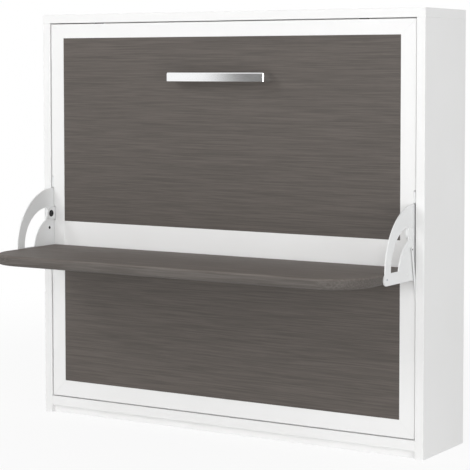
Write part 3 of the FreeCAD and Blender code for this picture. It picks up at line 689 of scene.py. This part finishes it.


# the heads are black steel, partly painted shade for the shadowed hollow at each pivot
pinSpots = bothSides(*pivotPin["place"], outward=-1)
setFasteners(
    "pivotPins", pinSpots, pivotPinShape(pivotPin), "black_steel", "bed", "desk_pivot_pins"
)

# Wide shallow caps outside the side plates, each with a small dimple
pivotCap = {
    "radius": 0.0279,
    "height": 0.002,
    "lip": 0.0006,
    "crown": ((0.985, 0.66), (0.955, 0.8), (0.88, 0.9), (0.7, 0.97), (0.5, 1.0)),
    "dimple": ((0.28, 1.0), (0.26, 0.72), (0.1, 0.7)),
    "sides": 64,
    "place": (0.9583, -0.425, 0.960),
}


def pivotCapShape(size):
    radius, tall, lip = size["radius"], size["height"], size["lip"]
    outline = [(radius - lip, 0), (radius, lip * 0.5), (radius, tall * 0.45)]
    for share, height in size["crown"] + size["dimple"]:
        outline.append((radius * share, tall * height))
    return turnedShape("pivotCapShape", size["sides"], outline)


capSpots = bothSides(*pivotCap["place"])
setFasteners(
    "pivotCaps", capSpots, pivotCapShape(pivotCap), "white_steel", "bed", "desk_pivot_caps"
)

# Small domed pins on which the level rods turn
rodPin = {
    "head": 0.007,
    "height": 0.0017,
    "rim": 0.25,
    "flat": 0,
    "domeStep": 14.5,
    "shank": 0.004,
    "reach": 0.0117,
    "tip": 0.85,
    "chamfer": 0.0006,
    "sides": 32,
    "place": (0.953, -0.427, 0.892),
}


def rodPinShape(size):
    return turnedShape("rodPinShape", size["sides"], shankAndRim(size) + domeRings(size))


rodPinSpots = bothSides(*rodPin["place"], outward=-1)
setFasteners("rodPins", rodPinSpots, rodPinShape(rodPin), "black_steel", "desk", "rod_pins_upper")
print("fasteners made")

# Sprung slats: one row, each slat a straight bar with rounded edges
slatRow = {
    "count": 14,
    "width": 0.053,
    "thick": 0.008,
    "round": 0.0032,
    "roundSteps": 5,
    "mergeDistance": 0.00001,
}


def slatTree(size):
    sockets = {
        "Count": "Int",
        "Pitch": "Float",
        "Start": "Vector",
        "Length": "Float",
        "Width": "Float",
        "Thickness": "Float",
        "Round": "Float",
        "Finish": "Material",
    }
    tree, bench, given = openTree("slatRow", sockets)
    outline = bench.node(
        "GeometryNodeCurvePrimitiveQuadrilateral",
        {"mode": "RECTANGLE"},
        {"Width": given["Width"], "Height": given["Thickness"]},
    )
    softened = bench.node(
        "GeometryNodeFilletCurve",
        {"mode": "POLY"},
        {"Curve": outline, "Radius": given["Round"], "Count": size["roundSteps"]},
    )
    flat = bench.node("GeometryNodeFillCurve", {}, {"Curve": softened})
    tall = bench.node(
        "GeometryNodeExtrudeMesh",
        {"mode": "FACES"},
        {"Mesh": flat, "Offset": (0, 0, 1), "Offset Scale": given["Length"], "Individual": False},
    )
    closed = bench.node("GeometryNodeFlipFaces", {}, {"Mesh": flat})
    bar = bench.node("GeometryNodeJoinGeometry", {})
    for part in (closed, tall):
        bench.tree.links.new(part.socket, bar.socket.node.inputs[0])
    merged = bench.node(
        "GeometryNodeMergeByDistance", {}, {"Geometry": bar, "Distance": size["mergeDistance"]}
    )
    step = bench.node("ShaderNodeCombineXYZ", {}, {"X": given["Pitch"]})
    row = bench.node(
        "GeometryNodeMeshLine",
        {"mode": "OFFSET"},
        {"Count": given["Count"], "Start Location": given["Start"], "Offset": step},
    )
    placed = bench.node("GeometryNodeInstanceOnPoints", {}, {"Points": row, "Instance": merged})
    closeTree(bench, placed, given["Finish"])
    return tree


def layOutSlats(size):
    low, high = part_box("slats")
    pitch = (high.x - low.x - size["width"]) / (size["count"] - 1)
    start = (low.x + size["width"] / 2, (low.y + high.y) / 2, low.z)
    values = {
        "Count": size["count"],
        "Pitch": pitch,
        "Start": start,
        "Length": high.z - low.z,
        "Width": size["width"],
        "Thickness": size["thick"],
        "Round": size["round"],
        "Finish": finishes["pale_birch"],
    }
    row = growPiece("slatRow", slatTree(size), values)
    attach(row, "bed")
    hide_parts("slats")


layOutSlats(slatRow)
print("slats laid out")

# Mattress: foam block in a quilted cover, with a piped seam round both faces
mattressSetup = {
    "inset": 0.009,
    "corner": 0.045,
    "cornerSteps": 6,
    "voxel": 0.018,
    "faceDepth": 0.012,
    "borderDepth": 0.03,
    "borderHold": 0.8,
    "pressure": 4.0,
    "stiffness": 12,
    "quality": 4,
    "frames": 20,
    "cap": 0.010,
    "quilt": (0.2356, 0.2271),
    "channel": 0.016,
    "channelDepth": 0.006,
    "stitchShare": 0.7,
    "grooveReach": 0.02,
    "piping": 0.0038,
    "pipingSides": 10,
    "pipingStep": 0.03,
    "cornerPoints": 8,
    "pipingProud": 0.0005,
}


def quiltDistance(spot, low, pitch):
    # distance to the nearest of two sets of slanting stitch lines
    u = (spot.x - low.x) / pitch[0]
    v = (spot.z - low.z) / pitch[1]
    scale = 1 / math.hypot(1 / pitch[0], 1 / pitch[1])
    first = abs((u + v) - round(u + v)) * scale
    second = abs((u - v) - round(u - v)) * scale
    return min(first, second)


def applyModifier(piece, name, kind, **settings):
    modifier = piece.modifiers.new(name, kind)
    for setting, value in settings.items():
        setattr(modifier, setting, value)
    bpy.ops.object.modifier_apply(modifier=modifier.name)


def foamBlock(setup, low, high):
    middle, half = (low + high) / 2, (high - low) / 2
    mesh = bmesh.new()
    bmesh.ops.create_cube(mesh, size=2)
    for vertex in mesh.verts:
        vertex.co = Vector([middle[i] + vertex.co[i] * half[i] for i in range(3)])
    deep = [edge for edge in mesh.edges if abs(edge.verts[0].co.y - edge.verts[1].co.y) > half.y]
    bmesh.ops.bevel(
        mesh,
        geom=deep,
        offset=setup["corner"],
        segments=setup["cornerSteps"],
        affect="EDGES",
        profile=0.5,
    )
    bmesh.ops.recalc_face_normals(mesh, faces=mesh.faces)
    piece = addObject("mattressQuilted", meshFrom("mattressQuilted", mesh))
    bpy.context.view_layer.objects.active = piece
    piece.select_set(True)
    applyModifier(piece, "voxels", "REMESH", mode="VOXEL", voxel_size=setup["voxel"])
    return piece


def puffCover(setup, piece, low, high):
    # air pressure lifts the cover between its stitch lines, never further than the cap
    rest = [vertex.co.copy() for vertex in piece.data.vertices]
    pins = piece.vertex_groups.new(name="stitched")
    for index, spot in enumerate(rest):
        depth = min(spot.y - low.y, high.y - spot.y)
        near = quiltDistance(spot, low, setup["quilt"])
        if depth < setup["faceDepth"] and near < setup["channel"] * setup["stitchShare"]:
            pins.add([index], 1.0, "REPLACE")
        elif setup["faceDepth"] <= depth < setup["borderDepth"]:
            pins.add([index], setup["borderHold"], "REPLACE")
    cloth = piece.modifiers.new("puff", "CLOTH")
    cloth.settings.use_pressure = True
    cloth.settings.uniform_pressure_force = setup["pressure"]
    cloth.settings.effector_weights.gravity = 0
    cloth.settings.vertex_group_mass = "stitched"
    cloth.settings.tension_stiffness = setup["stiffness"]
    cloth.settings.compression_stiffness = setup["stiffness"]
    cloth.settings.quality = setup["quality"]
    cloth.point_cache.frame_start = 1
    cloth.point_cache.frame_end = setup["frames"]
    for step in range(1, setup["frames"] + 1):
        scene.frame_set(step)
    bpy.ops.object.modifier_apply(modifier=cloth.name)
    for vertex, before in zip(piece.data.vertices, rest):
        move = vertex.co - before
        if move.length > setup["cap"]:
            vertex.co = before + move * (setup["cap"] / move.length)
    piece.vertex_groups.clear()
    scene.frame_set(1)


def sewChannels(setup, piece, low, high):
    for vertex in piece.data.vertices:
        near = quiltDistance(vertex.co, low, setup["quilt"])
        groove = max(0.0, 1 - near / setup["channel"]) ** 2 * setup["channelDepth"]
        if vertex.co.y > high.y - setup["grooveReach"]:
            vertex.co.y -= groove
        elif vertex.co.y < low.y + setup["grooveReach"]:
            vertex.co.y += groove


def makeMattress(setup):
    low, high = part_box("mattress")
    inset = Vector((setup["inset"],) * 3)
    low, high = low + inset, high - inset
    piece = foamBlock(setup, low, high)
    puffCover(setup, piece, low, high)
    applyModifier(piece, "finer", "SUBSURF", levels=1, render_levels=1)
    sewChannels(setup, piece, low, high)
    piece.data.shade_smooth()
    piece.data.materials.append(finishes["mattress_cloth"])
    piece.select_set(False)
    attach(piece, "bed")
    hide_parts("mattress")
    return piece, low, high


mattress, mattressLow, mattressHigh = makeMattress(mattressSetup)
print("mattress made:", len(mattress.data.polygons), "faces")


def pipingTree(setup):
    sockets = {"Path": "Geometry", "Radius": "Float", "Finish": "Material"}
    tree, bench, given = openTree("pipingOnSeam", sockets)
    line = bench.node("GeometryNodeMeshToCurve", {}, {"Mesh": given["Path"]})
    ring = bench.node(
        "GeometryNodeCurvePrimitiveCircle",
        {},
        {"Resolution": setup["pipingSides"], "Radius": given["Radius"]},
    )
    tube = bench.node("GeometryNodeCurveToMesh", {}, {"Curve": line, "Profile Curve": ring})
    closeTree(bench, tube, given["Finish"])
    return tree


def seamPath(setup, low, high):
    # (x, z) points round the mattress's outline, close enough to follow the cover
    corner = setup["corner"]
    centres = (
        (high.x - corner, high.z - corner, 0),
        (low.x + corner, high.z - corner, 90),
        (low.x + corner, low.z + corner, 180),
        (high.x - corner, low.z + corner, 270),
    )
    loop = []
    for x, z, start in centres:
        for step in range(setup["cornerPoints"] + 1):
            angle = math.radians(start + step * 90 / setup["cornerPoints"])
            loop.append((x + corner * math.cos(angle), z + corner * math.sin(angle)))
    path = []
    for (x0, z0), (x1, z1) in zip(loop, loop[1:] + loop[:1]):
        count = max(1, int(math.hypot(x1 - x0, z1 - z0) / setup["pipingStep"]))
        path += [(x0 + (x1 - x0) * k / count, z0 + (z1 - z0) * k / count) for k in range(count)]
    return path


def addPiping(setup, piece, low, high):
    # each seam runs round a face, laid onto the cover as it came out
    surface = BVHTree.FromObject(piece, bpy.context.evaluated_depsgraph_get())
    path = seamPath(setup, low, high)
    middle = (low.z + high.z) / 2
    points, edges = [], []
    for y in (low.y + setup["faceDepth"], high.y - setup["faceDepth"]):
        first = len(points)
        for x, z in path:
            nearest = surface.find_nearest(Vector((x, y, z)))[0]
            outward = Vector((x, 0, z - middle)).normalized()
            points.append(Vector((nearest.x, y, nearest.z)) + outward * setup["pipingProud"])
        edges += [(first + k, first + (k + 1) % len(path)) for k in range(len(path))]
    mesh = bpy.data.meshes.new("mattressPiping")
    mesh.from_pydata(points, edges, [])
    values = {"Radius": setup["piping"], "Finish": finishes["mattress_cloth"]}
    piping = growPiece("mattressPiping", pipingTree(setup), values, mesh, crease=60)
    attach(piping, "bed")


addPiping(mattressSetup, mattress, mattressLow, mattressHigh)
print("piping laid")

# Camera
cameraSetup = {
    "place": (4.1323, -6.8515, 1.6444),
    "yaw": -31.555,
    "pitch": -3.341,
    "focalPixels": 1716.8,
    "pictureWidth": 470,
    "sensorWidth": 36,
    "shift": (-0.04, -0.14),
}


def pointAt(made, ahead):
    made.rotation_euler = ahead.to_track_quat("-Z", "Y").to_euler()


def addCamera(setup):
    data = bpy.data.cameras.new("viewCamera")
    data.sensor_width = setup["sensorWidth"]
    data.lens = setup["focalPixels"] * setup["sensorWidth"] / setup["pictureWidth"]
    data.shift_x, data.shift_y = setup["shift"]
    camera = addObject("viewCamera", data)
    camera.location = setup["place"]
    yaw, pitch = math.radians(setup["yaw"]), math.radians(setup["pitch"])
    level = math.cos(pitch)
    pointAt(camera, Vector((math.sin(yaw) * level, math.cos(yaw) * level, math.sin(pitch))))
    scene.camera = camera


addCamera(cameraSetup)

# Room: a pale world that is brighter at one side, a pale floor and soft boxes
studio = {
    "ambient": 0.33,
    "sideLift": 0.48,
    "sideDirection": (0.80, -0.55, 0.20),
    "floorSize": 60,
    "floorWhite": (0.90, 1.0),
    "floorFade": (1.8, 5.0),
    "floorColour": linear(250, 250, 250),
    "floorGrain": (90, 3),
    "floorRoughness": 0.75,
    "floorRoughnessSpread": 0.1,
    "floorSpecular": 0.2,
    "lamps": {
        "keyBox": {"place": (-4.6, -6.6, 5.4), "size": (2.2, 2.2), "watts": 153},
        "lowBox": {"place": (-1.2, -9.4, 1.5), "size": (3.6, 1.4), "watts": 180},
        "frontBox": {"place": (6.5, -8.0, 1.8), "size": (4.0, 3.0), "watts": 80},
        "sideBox": {"place": (9.0, -5.5, 1.8), "size": (4.0, 3.0), "watts": 228},
    },
    "aim": (0, -0.3, 0.9),
}
pureWhite = (1, 1, 1, 1)


def addLamp(name, lamp, aim):
    data = bpy.data.lights.new(name, "AREA")
    data.shape = "RECTANGLE"
    data.size, data.size_y = lamp["size"]
    data.energy = lamp["watts"]
    light = addObject(name, data)
    light.location = lamp["place"]
    pointAt(light, Vector(aim) - Vector(lamp["place"]))


def seenDirectly(bench):
    # 1 for the rays that show the background: the camera's, mirrored ones and those through glass
    rays = ("Is Camera Ray", "Is Glossy Ray", "Is Transmission Ray")
    camera, glossy, through = (bench.node("ShaderNodeLightPath", output=ray) for ray in rays)
    return camera.calc("MAXIMUM", camera.calc("MAXIMUM", camera, glossy), through)


def addWorld(setup):
    world = bpy.data.worlds.new("studioWorld")
    scene.world = world
    world.use_nodes = True
    bench = Bench(world.node_tree)
    seen = seenDirectly(bench)
    direction = bench.node("ShaderNodeTexCoord", output="Generated")
    toSide = Vector(setup["sideDirection"]).normalized()
    facing = bench.node(
        "ShaderNodeVectorMath", {"operation": "DOT_PRODUCT"}, {0: direction, 1: toSide}, "Value"
    )
    lobe = facing.calc("MAXIMUM", facing, 0.0)
    light = setup["ambient"] + lobe * lobe * setup["sideLift"]
    strength = light + seen * (1 - light)
    white = bench.node("ShaderNodeBackground", {}, {"Color": pureWhite, "Strength": strength})
    bench.node("ShaderNodeOutputWorld", {}, {"Surface": white})


def floorFinish(bench, setup):
    # pale and matt, going over into the white background away from the object
    grain = bench.noise(*setup["floorGrain"])
    base = bench.coated(
        {
            "Base Color": setup["floorColour"],
            "Roughness": vary(setup["floorRoughness"], grain, setup["floorRoughnessSpread"]),
            "Specular IOR Level": setup["floorSpecular"],
        }
    )
    glow = bench.node("ShaderNodeEmission", {}, {"Color": pureWhite, "Strength": 1.0})
    apart = bench.node(
        "ShaderNodeVectorMath", {"operation": "LENGTH"}, {0: bench.position()}, "Value"
    )
    whiteness = bench.fade(apart, *setup["floorFade"], *setup["floorWhite"])
    share = seenDirectly(bench) * whiteness
    return bench.node("ShaderNodeMixShader", {}, {0: share, 1: base, 2: glow})


def addFloor(setup):
    reach = setup["floorSize"]
    mesh = bpy.data.meshes.new("studioFloor")
    corners = [(-reach, -reach, 0), (reach, -reach, 0), (reach, reach, 0), (-reach, reach, 0)]
    mesh.from_pydata(corners, [], [(0, 1, 2, 3)])
    mesh.materials.append(makeFinish("floorPale", floorFinish, setup))
    addObject("studioFloor", mesh)


# A glowing card that only mirrors see: a painted reflection that gives the chrome its grey end
cardSetup = {
    "y": -4.0,
    "x": (-2.44, -1.70),
    "z": (1.25, 1.95),
    "grey": linear(120, 119, 118),
    "fade": (-2.40, -2.05),
}


def cardFinish(bench, setup):
    # white fading to grey, glowing: the painted reflection seen in the chrome
    share = bench.fade(bench.along("X", bench.position()), *setup["fade"])
    shade = bench.mixColours(share, pureWhite, setup["grey"])
    return bench.node("ShaderNodeEmission", {}, {"Color": shade, "Strength": 1.0})


def addCard(setup):
    (x0, x1), (z0, z1), y = setup["x"], setup["z"], setup["y"]
    mesh = bpy.data.meshes.new("greyCard")
    mesh.from_pydata([(x0, y, z0), (x1, y, z0), (x1, y, z1), (x0, y, z1)], [], [(0, 1, 2, 3)])
    mesh.materials.append(makeFinish("cardFade", cardFinish, setup))
    card = addObject("greyCard", mesh)
    card.visible_camera = card.visible_diffuse = card.visible_shadow = False
    card.visible_transmission = card.visible_volume_scatter = False


addCard(cardSetup)
addWorld(studio)
addFloor(studio)
for name, lamp in studio["lamps"].items():
    addLamp(name, lamp, studio["aim"])
print("camera and studio ready")

scene.view_settings.view_transform = "Standard"
